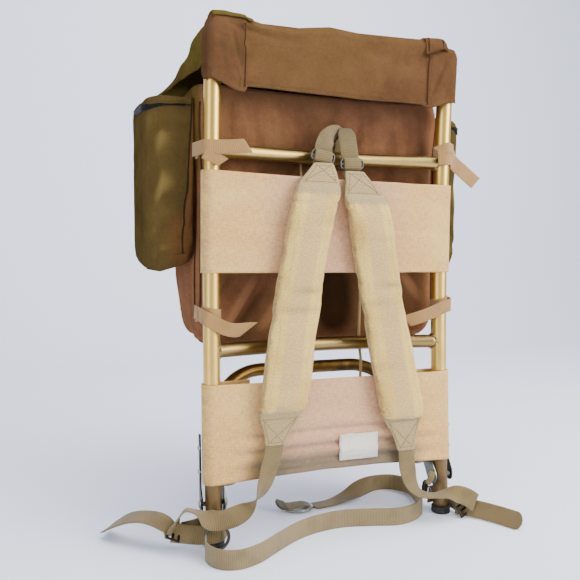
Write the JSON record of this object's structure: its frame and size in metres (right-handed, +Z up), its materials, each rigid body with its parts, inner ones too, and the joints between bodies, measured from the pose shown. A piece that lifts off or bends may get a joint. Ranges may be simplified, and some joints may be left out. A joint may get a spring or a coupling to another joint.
{
  "type": "rucksack on an external pack frame",
  "caption": "Bowed tube pack frame with hinged load shelf, laced canvas back bands, padded shoulder straps, loose waist belt and hooded nylon bag with side pockets.",
  "frame": {"origin": "on the floor under the middle of the whole object's bounding box", "axes": "+Z up along the frame, +Y from the wearer's back towards the bag, +X to the right as seen from the wearer's side"},
  "size_m": [0.5574, 0.3546, 0.67],
  "materials": {
    "tube": "gold anodised tube, scuffed",
    "steel": "dull plated steel",
    "dark_steel": "blackened steel",
    "rubber": "matt black rubber",
    "canvas": "faded beige canvas",
    "pad": "faded cream canvas over foam",
    "webbing": "ribbed khaki webbing",
    "tape": "tan twill tape",
    "cord": "tan braided cord",
    "label": "plain woven label",
    "bag_brown": "brown coated nylon",
    "bag_olive": "olive brown coated nylon"
  },
  "bodies": {
    "pack": {"upright_left": "tube", "upright_right": "tube", "crossbar_upper": "tube", "crossbar_lower": "tube", "foot_cap_left": "rubber", "foot_cap_right": "rubber", "hinge_pin_left": "steel", "hinge_pin_right": "steel", "hinge_strip_left": "steel", "hinge_strip_right": "steel", "back_band_upper": "canvas", "back_band_lower": "canvas", "label_patch": "label", "lacing_upper": "cord", "lacing_lower": "cord", "lacing_link": "cord", "strap_loop_left": "webbing", "strap_loop_right": "webbing", "shoulder_pad_left": "pad", "shoulder_pad_right": "pad", "slide_buckle_left": "steel", "slide_buckle_right": "steel", "strap_web_left": "webbing", "strap_web_right": "webbing", "strap_tail_left": "webbing", "strap_tail_right": "webbing", "anchor_web_left": "webbing", "anchor_web_right": "webbing", "ladder_lock_left": "dark_steel", "ladder_lock_right": "dark_steel", "waist_belt_front": "webbing", "waist_belt_rear": "webbing", "belt_ring": "steel", "belt_buckle": "steel", "belt_clip": "dark_steel", "belt_tab": "webbing", "tie_upper_left": "tape", "tie_upper_right": "tape", "tie_lower_left": "tape", "tie_lower_right": "tape", "bag_body": "bag_brown", "side_pocket_left": "bag_olive", "side_pocket_right": "bag_olive", "hood_sleeve": "bag_brown", "lid": "bag_olive"},
    "shelf": {"load_shelf": "tube", "shelf_tongue_left": "steel", "shelf_tongue_right": "steel"}
  },
  "joints": [
    {"name": "shelf_fold", "type": "hinge", "parent": "pack", "child": "shelf", "pos_m": [0.02368, -0.08506, 0.054], "axis": [-1, 0, 0], "range_deg": [-8, 54]}
  ]
}
